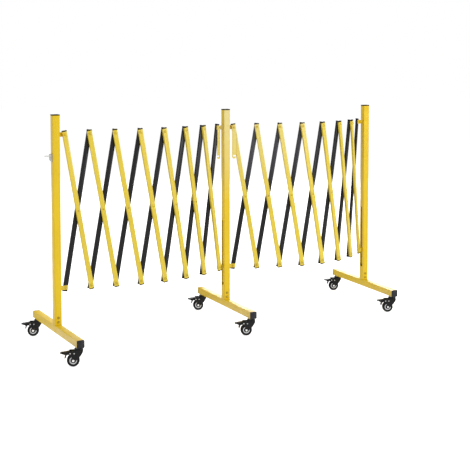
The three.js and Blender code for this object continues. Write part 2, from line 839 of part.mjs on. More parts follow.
const fixedLug = {
  leftOuter: lugSpec("leftOuter", 1, "behind", LUG.slightRoot, LUG.bend),
  leftInner: lugSpec("leftInner", -1, "before", 0, LUG.bend),
  rightInner: lugSpec("rightInner", 1, "behind", LUG.steepRoot, LUG.bend, "right"),
  rightOuter: lugSpec("rightOuter", -1, "before", 0, LUG.bend),
};
const slidingLug = {
  leftOuter: lugSpec("leftOuter", 1, "before", 0, LUG.bend),
  leftInner: lugSpec("leftInner", -1, "behind", 0, LUG.wideBend),
  rightInner: lugSpec("rightInner", 1, "before", 0, LUG.bend),
  rightOuter: lugSpec("rightOuter", -1, "ahead", -LUG.slotRoot, LUG.nearBend),
};
const origin = new THREE.Vector2();
const centreLugs = [fixedLug.leftInner, fixedLug.rightInner];
const postLeft = upright("left", leftEnd, leftYaw, [fixedLug.leftOuter], [1]);
const postCentre = upright("centre", origin, 0, centreLugs, [-1, 1]);
const postRight = upright("right", rightEnd, rightYaw, [fixedLug.rightOuter], [-1]);

lattice("left", leftColumns, leftHeadings, latchSeat("left"));
lattice("right", rightColumns, rightHeadings, LUG_SEAT);

function slider(parent, label, spec) {
  const at = new THREE.Vector3(spec.side * LUG.pivotReach, 0, BOTTOM_PIVOT_HEIGHT);
  place(parent, `slider_${label}`, sliderSolid(spec), MATERIAL.yellow, at);
}

slider(postLeft, "left_outer", slidingLug.leftOuter);
slider(postCentre, "left_inner", slidingLug.leftInner);
slider(postCentre, "right_inner", slidingLug.rightInner);
slider(postRight, "right_outer", slidingLug.rightOuter);

// The latch straps hang from the middle post's lugs, their notches towards the end posts.
function latchStrap(label, start, yaw, openSide) {
  const group = standing(assembly, start.x, start.y, yaw);
  const solid = latchSolid(LATCH_BACK[label], openSide);
  const at = new THREE.Vector3(0, 0, TOP_PIVOT_HEIGHT);
  place(group, `latch_strap_${label}`, solid, MATERIAL.yellow, at);
}

latchStrap("left", leftStart, yaws.leftInner, -1);
latchStrap("right", rightStart, yaws.rightInner, 1);

const catchAt = new THREE.Vector3(0, 0, POST.height - CATCH.drop);
place(postLeft, "catch_left", catchSolid(-1, true), MATERIAL.steel, catchAt);
place(postRight, "catch_right", catchSolid(1, false), MATERIAL.yellow, catchAt);

// The origin is the middle of the footprint, on the floor.
barrier.updateMatrixWorld(true);
const bounds = new THREE.Box3().setFromObject(barrier, true);
const middle = bounds.getCenter(new THREE.Vector3());
assembly.position.set(-middle.x, -middle.y, -bounds.min.z);

export default barrier;
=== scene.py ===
import json
import math

import bmesh
import bpy
from mathutils import Matrix, Vector


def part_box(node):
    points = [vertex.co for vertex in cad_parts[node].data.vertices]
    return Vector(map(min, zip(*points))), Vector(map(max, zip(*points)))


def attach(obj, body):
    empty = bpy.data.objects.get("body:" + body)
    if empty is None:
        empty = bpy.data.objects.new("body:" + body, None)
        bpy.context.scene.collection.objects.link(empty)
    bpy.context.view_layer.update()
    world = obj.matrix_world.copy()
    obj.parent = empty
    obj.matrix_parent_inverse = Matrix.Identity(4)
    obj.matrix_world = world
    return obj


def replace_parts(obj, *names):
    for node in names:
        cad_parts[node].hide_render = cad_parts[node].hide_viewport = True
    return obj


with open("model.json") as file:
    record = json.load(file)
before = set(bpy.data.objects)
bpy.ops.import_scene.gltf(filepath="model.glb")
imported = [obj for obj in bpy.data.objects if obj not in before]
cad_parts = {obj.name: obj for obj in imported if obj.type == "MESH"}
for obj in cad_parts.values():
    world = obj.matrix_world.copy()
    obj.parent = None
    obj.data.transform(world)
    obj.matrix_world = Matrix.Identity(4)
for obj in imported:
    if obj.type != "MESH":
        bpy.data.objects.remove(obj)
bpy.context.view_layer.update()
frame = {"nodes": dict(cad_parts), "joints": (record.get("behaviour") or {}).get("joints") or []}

MM = 0.001
UNITS = 7
SECTIONS = ("left", "right")
COLOURS = ("yellow", "black")
STANDS = ("left", "centre", "right")
ENDS = ("front", "rear")
SIDES = (-1, 1)
UP = Vector((0, 0, 1))
FRONT = Vector((0, -1, 0))
IN_PLACE = Matrix.Identity(4)

# Sizes of the CAD pieces that the added ones sit on.
# A bar's layer and face are counted from the middle of its pivot.
BAR = {
    "half_length": 334.84 * MM,
    "pivot": 318.84 * MM,
    "width": 20 * MM,
    "depth": 10 * MM,
    "layer": 6.5 * MM,
    "face": 11.5 * MM,
}
POST = {"side": 30 * MM, "cap": 4.2 * MM, "bolt_margin": 0.2 * MM, "bolts_below": 200 * MM}
BASE = {
    "end": 266 * MM,
    "end_margin": 0.1 * MM,
    "top": 105.5 * MM,
    "plug_foot": 74 * MM,
    "sockets_below": 75.3 * MM,
}

# How far from its pivot's middle each kind of rivet head sits.
SEAT = {
    "plain": 12.7 * MM,
    "lug": 3.3 * MM,
    "left_latch": 5.8 * MM,
    "right_latch": 18.9 * MM,
    "ahead": 15.1 * MM,
    "behind": 2.1 * MM,
    "inner": -0.3 * MM,
}

# Plugs, rivet heads and bolts. A share is of the head's radius or height, or of the lip or washer.
PLUG = {"length": 5.2 * MM, "proud": 0.35 * MM, "round": 1.6 * MM, "steps": 3}
RIVET = {"radius": 4.9 * MM, "height": 3.1 * MM}
DOME = {
    "lip": 1.1 * MM,
    "sink": 0.35 * MM,
    "foot_share": 0.985,
    "swell_share": 0.4,
    "lip_share": 0.97,
    "crown_shares": (0.86, 0.66, 0.42, 0.2),
}
WASHER = {"thick": 1.1 * MM, "sink": 0.2 * MM, "side_share": 0.8, "top_share": 0.94}
HEXAGON = {"foot_share": 0.5, "side_share": 0.84, "top_share": 0.86}
FOOT_BOLT = {"across": 8.6 * MM, "height": 3.4 * MM, "washer": 5.6 * MM}
FOOT_BOLT_RISES = (13 * MM, 31 * MM)

# Wheel: radii, and depths in from its side. The tread's shoulder is (under the tread, in from the side).
WHEEL = {
    "radius": 25 * MM,
    "width": 20 * MM,
    "rim": 15.2 * MM,
    "ring": 14.4 * MM,
    "core": 10.5 * MM,
    "bore": 3.4 * MM,
    "tyre_foot": 1.4 * MM,
}
SHOULDER = ((4.4 * MM, 0.2 * MM), (2.6 * MM, 0.9 * MM), (1 * MM, 2.6 * MM), (0.25 * MM, 5 * MM))
HUB = {
    "rim_foot": 3.4 * MM,
    "rim_top": 1.2 * MM,
    "groove": 1 * MM,
    "ring_top": 0.3 * MM,
    "ring_slope": 0.4 * MM,
    "core_top": 0.6 * MM,
    "core_slope": 1 * MM,
}

# The caster's fork and pedal, in its own frame: X along the trail and Z up. Outlines are in millimetres.
FORK = {
    "half_width": 13.5 * MM,
    "plate": 2 * MM,
    "plate_round": 0.5 * MM,
    "crown_front": -14 * MM,
    "crown_rear": 25 * MM,
    "crown_bottom": 58 * MM,
    "crown_top": 61 * MM,
    "crown_round": 0.6 * MM,
}
FORK_CUP = (
    (0, 63), (5.7, 63), (5.7, 71.8), (15.6, 71.8), (17.2, 71.1), (17.8, 69.6), (17.8, 67.4),
    (17.1, 66.9), (17.1, 66.1), (17.8, 65.6), (17.8, 61.6), (17.0, 60.2), (15.4, 60), (0, 60),
)
FORK_LEG = (
    (-16.2, 63.8), (-16.9, 62), (-14.4, 54.4), (-6, 41), (4.6, 30.6), (13.8, 22.6),
    (16.4, 19.2), (21.5, 17.4), (26.2, 19.2), (28.4, 23.4), (27.2, 30.4), (26.6, 36),
    (28.6, 41.4), (34.2, 45.4), (39.4, 49.6), (40.4, 54), (38.2, 60), (36.4, 63.8),
)
PEDAL_SIDE = (
    (33, 59), (29.5, 57.5), (28, 54), (29.5, 50.5), (33, 49), (46.4, 47.6),
    (50.4, 35.6), (52.4, 33.4), (54.6, 33.6), (55.2, 35.8), (52.4, 47.8), (60, 50.8),
    (71.2, 53), (72, 54.4), (71, 56), (58, 57.6), (44, 60.2), (37, 61.2),
)
PEDAL = {"half_width": 9.5 * MM, "round": 0.7 * MM}
GRIP = {
    "places": (59 * MM, 62.5 * MM, 66 * MM),
    "middle": 57.4 * MM,
    "length": 1.5 * MM,
    "inset": 1.2 * MM,
    "height": 1.6 * MM,
    "round": 0.4 * MM,
}
AXLE_PIN = {"x": 21.5 * MM, "z": 25 * MM, "radius": 3 * MM, "inner": 0.1 * MM}
PEDAL_PIN = {"x": 33 * MM, "z": 54 * MM, "radius": 2.4 * MM, "inner": 9.8 * MM}
AXLE_NUT = {"across": 7.4 * MM, "height": 3.6 * MM, "washer": 4.6 * MM}
PIN_HEAD = {"radius": 2.9 * MM, "height": 2.2 * MM, "gap": 0.2 * MM}
STOP_HEAD = {"x": 17.5 * MM, "z": 53.5 * MM, "radius": 2.6 * MM, "height": 1.8 * MM}

# Steps round a turned shape, along a rounded edge, and the angle past which an edge is sharp.
TURN_STEPS = {"tyre": 48, "cup": 48, "hub": 40, "head": 24, "pin": 16, "hexagon": 6}
EDGE_STEPS = 2
SHARP_ANGLE = math.radians(32)

# The CAD nodes' edges: how wide they are rounded, from which angle, and what is welded before.
EDGE = {"bar": 0.35 * MM, "tube": 0.5 * MM, "angle": math.radians(38), "weld": 0.01 * MM}

# The photograph's side, its lens's focal length and the row of its optical axis, in pixels.
PHOTO_SIDE = 470
PHOTO_FOCAL = 1006.35
PHOTO_AXIS_ROW = 122.43

# The camera: its place from the middle post's axis, and its aim in degrees.
CAMERA = {
    "from_post": (-1.9917, -4.0289, 1.1876),
    "pitch": 86.4,
    "yaw": -26.84,
    "sensor": 36.0,
    "focal_share": PHOTO_FOCAL / PHOTO_SIDE,
    "drop_share": (PHOTO_AXIS_ROW - PHOTO_SIDE / 2) / PHOTO_SIDE,
    "clip_end": 100,
}

# Light on the object: soft lamps in watts, the world's strength, and the floor's grey and glow.
LIGHTS = {
    "key": {"place": (2.7, -4.6, 2.0), "target": (0, 0, 0.6), "size": 2.4, "power": 156},
    "fill": {"place": (-4.2, -2.6, 3.0), "target": (0, 0, 0.5), "size": 3.0, "power": 58},
    "top": {"place": (0.4, 1.2, 4.6), "target": (0, 0, 0.4), "size": 3.5, "power": 90},
    "back": {"place": (2.8, 4.2, 2.2), "target": (0, 0, 0.5), "size": 2.8, "power": 110},
}
WHITE = (1, 1, 1, 1)
WORLD_LIGHT = 0.45
FLOOR = {"size": 40, "colour": (0.86, 0.86, 0.86, 1), "glow": 0.62}


# Materials

# The noise values at which a surface is at its smoothest and at its roughest.
ROUGH_NOISE = {"low": 0.3, "high": 0.75}

# How strongly rubbed marks on paint, flecks on plastic and dull spots on steel show.
RUBBED_SHARE = 0.55
FLECK_SHARE = 0.5
SPOT_SHARE = 0.6


def srgb(red, green, blue):
    """Linear colour of an 8-bit display colour."""
    def linear(value):
        value /= 255
        return value / 12.92 if value <= 0.04045 else ((value + 0.055) / 1.055) ** 2.4
    return (linear(red), linear(green), linear(blue), 1.0)


class Shader:
    """A node material being built: a Principled shader with a few helpers."""

    def __init__(self, name, roughness, metallic=0.0, specular=0.5):
        self.material = bpy.data.materials.new(name)
        self.material.use_nodes = True
        self.tree = self.material.node_tree
        self.tree.nodes.clear()
        output = self.tree.nodes.new("ShaderNodeOutputMaterial")
        self.surface = self.tree.nodes.new("ShaderNodeBsdfPrincipled")
        self.roughness = roughness
        self.surface.inputs["Roughness"].default_value = roughness
        self.surface.inputs["Metallic"].default_value = metallic
        self.surface.inputs["Specular IOR Level"].default_value = specular
        self.link(self.surface.outputs["BSDF"], output.inputs["Surface"])
        self.place = self.tree.nodes.new("ShaderNodeTexCoord").outputs["Object"]

    def link(self, source, target):
        self.tree.links.new(source, target)

    def feed(self, socket, value):
        """Sets a socket to a plain value, or links it to another node's output."""
        if isinstance(value, bpy.types.NodeSocket):
            self.link(value, socket)
        else:
            socket.default_value = value

    def noise(self, scale, detail, roughness=0.55, stretch=(1, 1, 1), distortion=0.0):
        mapping = self.tree.nodes.new("ShaderNodeMapping")
        mapping.inputs["Scale"].default_value = stretch
        self.link(self.place, mapping.inputs["Vector"])
        node = self.tree.nodes.new("ShaderNodeTexNoise")
        node.inputs["Scale"].default_value = scale
        node.inputs["Detail"].default_value = detail
        node.inputs["Roughness"].default_value = roughness
        node.inputs["Distortion"].default_value = distortion
        self.link(mapping.outputs["Vector"], node.inputs["Vector"])
        return node.outputs["Fac"]

    def measure(self, operation, source, vector):
        node = self.tree.nodes.new("ShaderNodeVectorMath")
        node.operation = operation
        node.inputs[1].default_value = vector
        self.link(source, node.inputs[0])
        return node.outputs["Value"]

    def distance(self, point):
        return self.measure("DISTANCE", self.place, point)

    def facing(self, direction):
        normal = self.tree.nodes.new("ShaderNodeNewGeometry").outputs["Normal"]
        return self.measure("DOT_PRODUCT", normal, direction)

    def ramp(self, factor, low, high, bottom=0.0, top=1.0):
        node = self.tree.nodes.new("ShaderNodeMapRange")
        node.inputs["From Min"].default_value = low
        node.inputs["From Max"].default_value = high
        node.inputs["To Min"].default_value = bottom
        node.inputs["To Max"].default_value = top
        self.link(factor, node.inputs["Value"])
        return node.outputs["Result"]

    def mix(self, factor, first, second):
        """Colour between two, of which each is a colour or a node's output."""
        node = self.tree.nodes.new("ShaderNodeMix")
        node.data_type = "RGBA"
        self.link(factor, node.inputs["Factor"])
        first_colour, second_colour = node.inputs[6], node.inputs[7]
        self.feed(first_colour, first)
        self.feed(second_colour, second)
        return node.outputs[2]

    def times(self, first, second):
        node = self.tree.nodes.new("ShaderNodeMath")
        node.operation = "MULTIPLY"
        self.feed(node.inputs[0], first)
        self.feed(node.inputs[1], second)
        return node.outputs[0]

    def colour(self, value):
        self.link(value, self.surface.inputs["Base Color"])

    def rough(self, factor, smoother, rougher):
        """Lets a noise make the surface smoother or rougher by so much."""
        low, high = self.roughness - smoother, self.roughness + rougher
        varied = self.ramp(factor, bottom=low, top=high, **ROUGH_NOISE)
        self.link(varied, self.surface.inputs["Roughness"])

    def bump(self, height, strength, distance):
        """Adds a bump over those that the surface has."""
        node = self.tree.nodes.new("ShaderNodeBump")
        node.inputs["Strength"].default_value = strength
        node.inputs["Distance"].default_value = distance
        self.link(height, node.inputs["Height"])
        normal = self.surface.inputs["Normal"]
        if normal.is_linked:
            self.link(normal.links[0].from_socket, node.inputs["Normal"])
        self.link(node.outputs["Normal"], normal)


# Painted highlight: paint on front faces is mixed towards a pale colour near the top of the middle post,
# standing in for the lamps' glare there.
PAINTED_HIGHLIGHT = {"centre": (0.12, 0, 0.98), "near": 0.05, "far": 0.44, "turned": 0.55, "facing": 0.85}


def powder_coat(name, base, deep, worn, roughness, grime, specular, pale):
    """Sprayed and baked paint: faint mottling, orange peel, a few rubbed marks and dust, and a painted
    highlight that pales front faces near the middle post's top.
    """
    shader = Shader(name, roughness, specular=specular)
    cloud = shader.ramp(shader.noise(scale=5, detail=5), low=0.35, high=0.68)
    # Painted highlight mask: faces turned to the front and near the middle post's top take the pale
    # colour.
    front = shader.ramp(shader.facing(tuple(FRONT)), low=PAINTED_HIGHLIGHT["turned"], high=PAINTED_HIGHLIGHT["facing"])
    near = shader.ramp(shader.distance(PAINTED_HIGHLIGHT["centre"]), low=PAINTED_HIGHLIGHT["far"], high=PAINTED_HIGHLIGHT["near"])
    mottle_with_painted_highlight = shader.mix(shader.times(front, near), shader.mix(cloud, base, deep), pale)
    drawn = shader.noise(scale=55, detail=6, roughness=0.7, stretch=(1, 1, 0.09), distortion=0.4)
    streak = shader.ramp(drawn, low=0.63, high=0.74)
    patch = shader.ramp(shader.noise(scale=9, detail=3), low=0.5, high=0.66)
    rubbed = shader.mix(shader.times(shader.times(streak, patch), RUBBED_SHARE), mottle_with_painted_highlight, worn)
    dust = shader.ramp(shader.noise(scale=130, detail=5, roughness=0.75), low=0.62, high=0.8)
    grime_colour, grime_share = grime
    shader.colour(shader.mix(shader.times(dust, grime_share), rubbed, grime_colour))
    shader.rough(shader.noise(scale=24, detail=5), smoother=0.08, rougher=0.12)
    shader.bump(shader.noise(scale=620, detail=2), strength=0.18, distance=0.3 * MM)
    shader.bump(shader.noise(scale=60, detail=3), strength=0.06, distance=0.6 * MM)
    return shader.material


def moulded_plastic(name, base, light, roughness, specular=0.28):
    """Injection-moulded plastic with a fine grain and slight greying."""
    shader = Shader(name, roughness, specular=specular)
    cloud = shader.ramp(shader.noise(scale=38, detail=5, roughness=0.6), low=0.38, high=0.72)
    fleck = shader.ramp(shader.noise(scale=420, detail=3, roughness=0.7), low=0.6, high=0.85)
    clouded = shader.mix(cloud, base, light)
    shader.colour(shader.mix(shader.times(fleck, FLECK_SHARE), clouded, light))
    shader.rough(shader.noise(scale=90, detail=4), smoother=0.07, rougher=0.1)
    shader.bump(shader.noise(scale=1400, detail=2), strength=0.22, distance=0.2 * MM)
    return shader.material


def plated_steel(name, base, dark, roughness):
    """Zinc-plated steel: soft spangle, fine scratches and dull spots."""
    shader = Shader(name, roughness, metallic=1.0)
    spangle = shader.ramp(shader.noise(scale=160, detail=4, roughness=0.65), low=0.35, high=0.7)
    spots = shader.ramp(shader.noise(scale=45, detail=3), low=0.58, high=0.75)
    spangled = shader.mix(spangle, base, dark)
    shader.colour(shader.mix(shader.times(spots, SPOT_SHARE), spangled, dark))
    shader.rough(shader.noise(scale=240, detail=4), smoother=0.08, rougher=0.16)
    scratches = shader.noise(scale=900, detail=2, roughness=0.5, stretch=(1, 1, 0.2))
    shader.bump(scratches, strength=0.15, distance=0.1 * MM)
    return shader.material


def tyre_rubber(name, base, dusty):
    """Smooth rubber tread, greyed with floor dust."""
    shader = Shader(name, roughness=0.72, specular=0.16)
    dust = shader.ramp(shader.noise(scale=75, detail=6, roughness=0.7), low=0.42, high=0.78)
    shader.colour(shader.mix(dust, base, dusty))
    shader.rough(shader.noise(scale=120, detail=4), smoother=0.1, rougher=0.13)
    shader.bump(shader.noise(scale=700, detail=3), strength=0.3, distance=0.2 * MM)
    return shader.material


YELLOW = powder_coat(
    "yellow_post_coat",
    base=srgb(222, 188, 29),
    deep=srgb(216, 181, 20),
    worn=srgb(214, 192, 104),
    roughness=0.34,
    grime=(srgb(200, 186, 128), 0.12),
    specular=0.25,
    # pale: painted highlight colour on front faces near the middle post's top.
    pale=srgb(218, 204, 140),
)
BAR_YELLOW = powder_coat(
    "yellow_bar_coat",
    base=srgb(217, 192, 60),
    deep=srgb(210, 184, 48),
    worn=srgb(216, 198, 130),
    roughness=0.34,
    grime=(srgb(206, 194, 150), 0.14),
    specular=0.36,
    # pale: painted highlight colour on the bars' front faces near the middle post's top.
    pale=srgb(218, 202, 124),
)
BLACK = powder_coat(
    "black_bar_coat",
    base=srgb(24, 24, 26),
    deep=srgb(18, 18, 20),
    worn=srgb(44, 44, 45),
    roughness=0.36,
    grime=(srgb(50, 50, 50), 0.06),
    specular=0.16,
    # pale: painted highlight on the black bars' front faces near the middle post's top.
    pale=srgb(80, 80, 87),
)
MATT_PLASTIC = moulded_plastic(
    "matt_black_plastic",
    base=srgb(14, 14, 15),
    light=srgb(24, 24, 25),
    roughness=0.8,
    specular=0.0,
)
PLASTIC = moulded_plastic(
    "black_plastic",
    base=srgb(9, 9, 10),
    light=srgb(18, 18, 20),
    roughness=0.3,
    specular=0.16,
)
PLUG_PLASTIC = moulded_plastic(
    "grey_black_plastic",
    base=srgb(34, 34, 38),
    light=srgb(50, 50, 54),
    roughness=0.46,
    specular=0.16,
)
GREY_PLASTIC = moulded_plastic(
    "grey_plastic",
    base=srgb(214, 216, 218),
    light=srgb(228, 229, 230),
    roughness=0.45,
)
STEEL = plated_steel(
    "zinc_plated_steel",
    base=(0.5, 0.5, 0.49, 1),
    dark=(0.3, 0.3, 0.3, 1),
    roughness=0.36,
)
BRIGHT_STEEL = plated_steel(
    "bright_zinc_plated_steel",
    base=(0.8, 0.8, 0.79, 1),
    dark=(0.55, 0.55, 0.54, 1),
    roughness=0.3,
)
YELLOW_ZINC = plated_steel(
    "yellow_passivated_zinc",
    base=(0.44, 0.31, 0.04, 1),
    dark=(0.26, 0.18, 0.02, 1),
    roughness=0.5,
)
RUBBER = tyre_rubber("wheel_rubber", base=srgb(14, 14, 15), dusty=srgb(36, 36, 35))


# Geometry helpers: each adds a form to a bmesh, in the frame of the piece.

def finish_piece(name, mesh, materials, matrix, body):
    """Makes an object of a bmesh, placed by a matrix, and lets it ride on a CAD body."""
    bmesh.ops.recalc_face_normals(mesh, faces=mesh.faces)
    data = bpy.data.meshes.new(name)
    mesh.transform(matrix)
    mesh.to_mesh(data)
    mesh.free()
    piece = bpy.data.objects.new(name, data)
    bpy.context.collection.objects.link(piece)
    for material in materials:
        data.materials.append(material)
    data.polygons.foreach_set("use_smooth", [True] * len(data.polygons))
    data.set_sharp_from_angle(angle=SHARP_ANGLE)
    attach(piece, body)
    return piece


def toward(direction, origin):
    """Matrix that takes local +Z to a direction, at a point."""
    return Matrix.Translation(origin) @ direction.to_track_quat("Z", "Y").to_matrix().to_4x4()


def ring_of(mesh, radius, height, matrix, steps):
    """Points round local Z at a height, or one point where the radius is zero."""
    if radius <= 0:
        return [mesh.verts.new(matrix @ Vector((0, 0, height)))]
    points = []
    for step in range(steps):
        angle = 2 * math.pi * step / steps
        spot = Vector((radius * math.cos(angle), radius * math.sin(angle), height))
        points.append(mesh.verts.new(matrix @ spot))
    return points


def lathe(mesh, profile, matrix, steps, slot=0):
    """Turns a profile of (radius, height) pairs about local Z. A radius of zero closes on the axis."""
    rings = [ring_of(mesh, radius, height, matrix, steps) for radius, height in profile]
    for low, high in zip(rings, rings[1:]):
        for step in range(steps):
            after = (step + 1) % steps
            near = [low[step % len(low)], low[after % len(low)]]
            far = [high[after % len(high)], high[step % len(high)]]
            face = mesh.faces.new(list(dict.fromkeys(near + far)))
            face.material_index = slot


def dome(mesh, matrix, radius, height, slot=0):
    """Domed rivet head with a small upright lip, standing on local Z."""
    lip = DOME["lip"]
    profile = [
        (0, -DOME["sink"]),
        (radius * DOME["foot_share"], -DOME["sink"]),
        (radius, lip * DOME["swell_share"]),
        (radius * DOME["lip_share"], lip),
    ]
    for share in DOME["crown_shares"]:
        rise = lip + (height - lip) * math.sqrt(1 - share * share)
        profile.append((radius * share, rise))
    profile.append((0, height))
    lathe(mesh, profile, matrix, TURN_STEPS["head"], slot)


def rivet_head(mesh, outward, spot):
    dome(mesh, toward(outward, spot), RIVET["radius"], RIVET["height"])


def hex_bolt(mesh, matrix, bolt):
    """Hexagon head on a washer, standing on local Z."""
    thick, washer = WASHER["thick"], bolt["washer"]
    disc = [
        (0, -WASHER["sink"]),
        (washer, -WASHER["sink"]),
        (washer, thick * WASHER["side_share"]),
        (washer * WASHER["top_share"], thick),
        (0, thick),
    ]
    lathe(mesh, disc, matrix, TURN_STEPS["head"])
    radius, height = bolt["across"] / math.sqrt(3), bolt["height"]
    head = [
        (0, thick * HEXAGON["foot_share"]),
        (radius, thick * HEXAGON["foot_share"]),
        (radius, height * HEXAGON["side_share"]),
        (radius * HEXAGON["top_share"], height),
        (0, height),
    ]
    lathe(mesh, head, matrix, TURN_STEPS["hexagon"])


def round_edges(mesh, edges, radius, steps):
    bmesh.ops.bevel(
        mesh,
        geom=list(dict.fromkeys(edges)),
        offset=radius,
        segments=steps,
        profile=0.5,
        affect="EDGES",
        clamp_overlap=True,
    )


def rounded_box(mesh, size, matrix, radius, steps=EDGE_STEPS):
    """Box centred on the matrix's origin, with every edge rounded."""
    made = bmesh.ops.create_cube(mesh, size=1.0, matrix=matrix @ Matrix.Diagonal((*size, 1.0)))
    edges = [edge for vert in made["verts"] for edge in vert.link_edges]
    round_edges(mesh, edges, radius, steps)


def prism(mesh, outline, half_width, matrix, radius):
    """Outline in local XZ, extruded across local Y, with its long edges rounded."""
    near = [mesh.verts.new(matrix @ Vector((x, -half_width, z))) for x, z in outline]
    far = [mesh.verts.new(matrix @ Vector((x, half_width, z))) for x, z in outline]
    caps = [mesh.faces.new(near), mesh.faces.new(list(reversed(far)))]
    count = len(outline)
    for index in range(count):
        after = (index + 1) % count
        mesh.faces.new([near[index], far[index], far[after], near[after]])
    edges = [edge for face in caps for edge in face.edges]
    round_edges(mesh, edges, radius, EDGE_STEPS)


def scaled(outline):
    """Outline in metres, from one in millimetres."""
    return [(x * MM, z * MM) for x, z in outline]


# Where things are, read from the frame's joints.

joints = {joint["name"]: joint for joint in frame["joints"]}


def pivot(name):
    return Vector(joints[name]["pos_m"])


def axis(name):
    return Vector(joints[name]["axis"]).normalized()


def front_of(section, unit):
    return axis(f"{section}_cross_{unit}")


def top_pivot(section, column):
    """Top pivot of a column of a section. The first and the last column are at posts."""
    at_posts = {
        "left": {0: "left_stand_pivot", UNITS: "fold_left"},
        "right": {0: "fold_right", UNITS: "right_stand_pivot"},
    }
    return pivot(at_posts[section].get(column, f"{section}_top_{column}"))


def axes_at(origin, x, y, z):
    """Matrix with an origin and three axes."""
    return Matrix.Translation(origin) @ Matrix((x, y, z)).transposed().to_4x4()


def bar_frame(section, colour, unit):
    """Matrix of a bar: origin at its middle pivot, Z up the bar, Y to the rear."""
    centre = pivot(f"{section}_cross_{unit}")
    top = top_pivot(section, unit - 1 if colour == "yellow" else unit)
    up = (top - centre).normalized()
    rear = -front_of(section, unit)
    return axes_at(centre, rear.cross(up).normalized(), rear, up)


def caster_frame(stand, end):
    """Matrix of a caster: origin on the floor under its swivel, X along the trail, Y along the axle."""
    swivel = pivot(f"swivel_{stand}_{end}")
    across = axis(f"roll_{stand}_{end}")
    trail = across.cross(UP).normalized()
    return axes_at((swivel.x, swivel.y, 0), trail, across, UP)


def stand_frame(stand):
    """Matrix of a stand: origin on the floor under its post, Y along its base towards the rear."""
    front = pivot(f"swivel_{stand}_front")
    rear = pivot(f"swivel_{stand}_rear")
    middle = (front + rear) * 0.5
    along = (rear - front).normalized()
    return axes_at((middle.x, middle.y, 0), along.cross(UP), along, UP)


# The CAD nodes: rounded edges by modifier, and materials by node or by face.

nodes = frame["nodes"]


def soften(node, width):
    weld = node.modifiers.new("weld", "WELD")
    weld.merge_threshold = EDGE["weld"]
    bevel = node.modifiers.new("bevel", "BEVEL")
    bevel.width = width
    bevel.segments = EDGE_STEPS
    bevel.limit_method = "ANGLE"
    bevel.angle_limit = EDGE["angle"]
    bevel.harden_normals = True
    bevel.use_clamp_overlap = True


def dress(node, materials, choose=None, width=EDGE["bar"]):
    """Gives a CAD node its materials. The choice is made face by face, from the face's middle."""
    data = node.data
    data.materials.clear()
    for material in materials:
        data.materials.append(material)
    for face in data.polygons:
        face.material_index = choose(face) if choose else 0
        face.use_smooth = True
    soften(node, width)


def dress_black_bar(name):
    """Black bar in the rear layer. What it has in front of its pivots' middle is yellow."""
    section, unit = name.split("_bar_black_")
    local = bar_frame(section, "black", int(unit)).inverted()

    def choose(face):
        return 1 if (local @ Vector(face.center)).y < 0 else 0

    dress(nodes[name], [BLACK, BAR_YELLOW], choose)


def dress_post(stand):
    """Post with its black cap and its foot bolts."""
    local = stand_frame(stand).inverted()
    cap_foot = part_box(f"post_{stand}")[1][2] - POST["cap"]
    bolts_ahead_of = -POST["side"] / 2 - POST["bolt_margin"]

    def choose(face):
        if face.center[2] > cap_foot:
            return 1
        spot = local @ Vector(face.center)
        return 2 if spot.y < bolts_ahead_of and spot.z < POST["bolts_below"] else 0

    dress(nodes[f"post_{stand}"], [YELLOW, MATT_PLASTIC, YELLOW_ZINC], choose, EDGE["tube"])


def dress_base(stand):
    """Base tube with its end plugs and the steel sockets under it."""
    local = stand_frame(stand).inverted()
    plugs_past = BASE["end"] - BASE["end_margin"]

    def choose(face):
        spot = local @ Vector(face.center)
        if abs(spot.y) > plugs_past and spot.z > BASE["plug_foot"]:
            return 1
        return 2 if spot.z < BASE["sockets_below"] else 0

    dress(nodes[f"base_{stand}"], [YELLOW, PLUG_PLASTIC, STEEL], choose, EDGE["tube"])


for name in nodes:
    if "bar_yellow" in name or name.startswith(("slider", "latch")):
        dress(nodes[name], [BAR_YELLOW])
    elif "bar_black" in name:
        dress_black_bar(name)
dress(nodes["catch_left"], [STEEL])
dress(nodes["catch_right"], [YELLOW])
for stand in STANDS:
    dress_post(stand)
    dress_base(stand)


# Bars: plugs in their ends and a rivet head at each pivot.

def bar_plugs(body, place, layer):
    plugs = bmesh.new()
    size = (
        BAR["width"] + PLUG["proud"] * 2,
        BAR["depth"] + PLUG["proud"] * 2,
        PLUG["length"],
    )
    for side in SIDES:
        middle = side * (BAR["half_length"] + PLUG["proud"] - PLUG["length"] / 2)
        spot = Matrix.Translation((0, layer, middle))
        rounded_box(plugs, size, spot, PLUG["round"], PLUG["steps"])
    finish_piece(f"plugs_{body}", plugs, [MATT_PLASTIC], place, body)


def crossing_seats():
    """(height along the bar, outward direction, seat) of a yellow bar's two rivet heads."""
    return [(0, FRONT, BAR["face"]), (0, -FRONT, SEAT["plain"])]


def end_seats(section, unit):
    """The same for the rivet heads at a black bar's top and bottom, in the bar's frame."""
    into_bar = bar_frame(section, "black", unit).to_3x3().inverted()
    seats = []
    for side, column, at_post in ((1, unit, UNITS), (-1, unit - 1, 0)):
        if column == at_post:
            ahead = FRONT
            seat = SEAT["left_latch"] if (section, side) == ("left", 1) else SEAT["lug"]
        else:
            neighbour = front_of(section, unit + side)
            ahead = into_bar @ (front_of(section, unit) + neighbour).normalized()
            seat = SEAT["plain"]
        seats.append((side * BAR["pivot"], ahead, seat))
        seats.append((side * BAR["pivot"], -ahead, BAR["face"]))
    return seats


def bar_rivets(body, place, seats):
    heads = bmesh.new()
    for height, outward, seat in seats:
        rivet_head(heads, outward, Vector((0, 0, height)) + outward * seat)
    finish_piece(f"rivets_{body}", heads, [YELLOW_ZINC], place, body)


